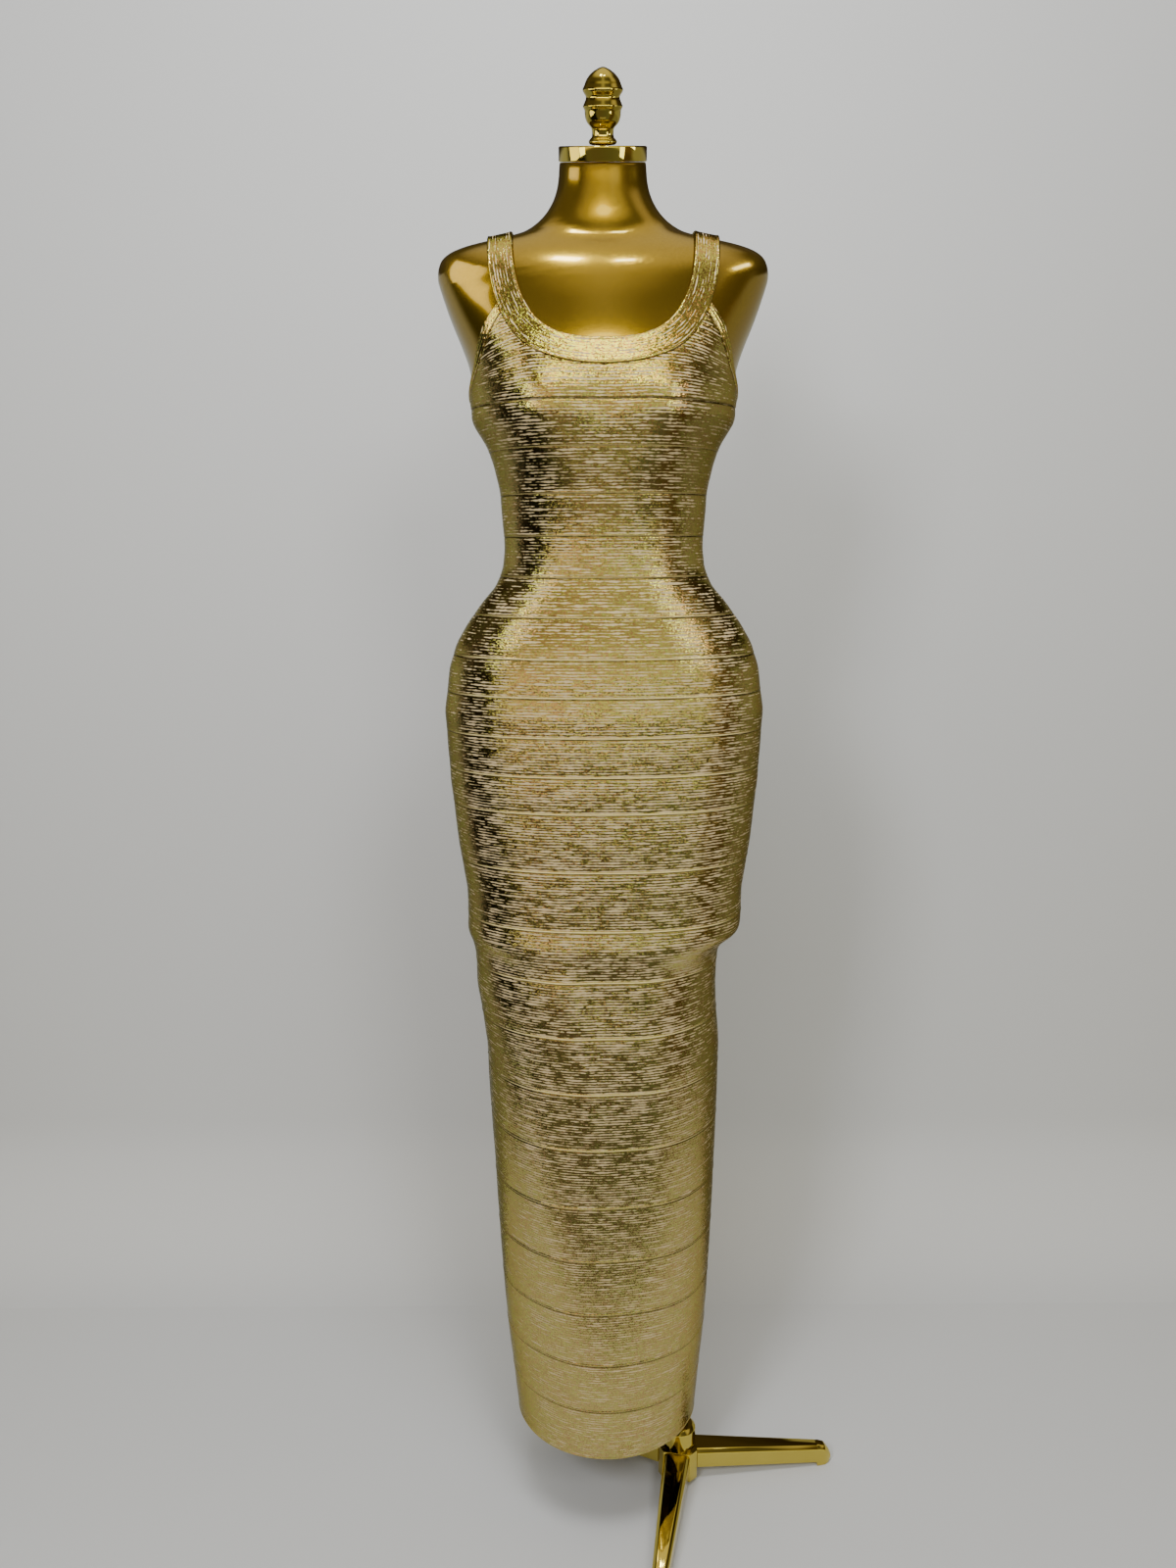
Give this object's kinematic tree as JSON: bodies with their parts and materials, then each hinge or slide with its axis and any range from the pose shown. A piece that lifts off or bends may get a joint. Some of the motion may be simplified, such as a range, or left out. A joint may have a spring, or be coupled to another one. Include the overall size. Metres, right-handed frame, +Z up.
{
  "type": "bodycon dress on a dress form",
  "caption": "Gold foil bandage-knit tank maxi dress with a wide scoop neck and banded seams, worn by a limbless gold dress form on a pole and a tripod stand.",
  "frame": {"origin": "on the floor, under the middle of the whole part's bounding box", "axes": "+Z up, the dress's front towards -Y, +X towards the side the pole stands on"},
  "size_m": [0.489, 0.3328, 1.707],
  "materials": {
    "foil_knit": "metallic gold foil over a fine-ribbed champagne knit",
    "form_gold": "glossy metallic gold paint under clear coat",
    "stand_gold": "mirror-polished gold plate"
  },
  "bodies": {
    "root": {"neck_band_front": "foil_knit", "neck_band_back": "foil_knit", "bodice_top_front": "foil_knit", "bodice_top_back": "foil_knit", "armhole_binding_left": "foil_knit", "armhole_binding_right": "foil_knit", "band_01": "foil_knit", "band_02": "foil_knit", "band_03": "foil_knit", "band_04": "foil_knit", "band_05": "foil_knit", "band_06": "foil_knit", "band_07": "foil_knit", "band_08": "foil_knit", "band_09": "foil_knit", "band_10": "foil_knit", "band_11": "foil_knit", "band_12": "foil_knit", "band_13": "foil_knit", "band_14": "foil_knit", "band_15": "foil_knit", "band_16": "foil_knit", "band_17": "foil_knit", "band_18": "foil_knit", "band_19": "foil_knit", "band_20": "foil_knit", "band_21": "foil_knit", "band_22": "foil_knit", "dress_form": "form_gold", "neck_cap": "stand_gold", "finial": "stand_gold", "form_socket": "stand_gold", "pole": "stand_gold", "pole_collar": "stand_gold", "stand_hub": "stand_gold", "leg_side": "stand_gold", "leg_back": "stand_gold", "leg_front": "stand_gold"}
  },
  "joints": []
}
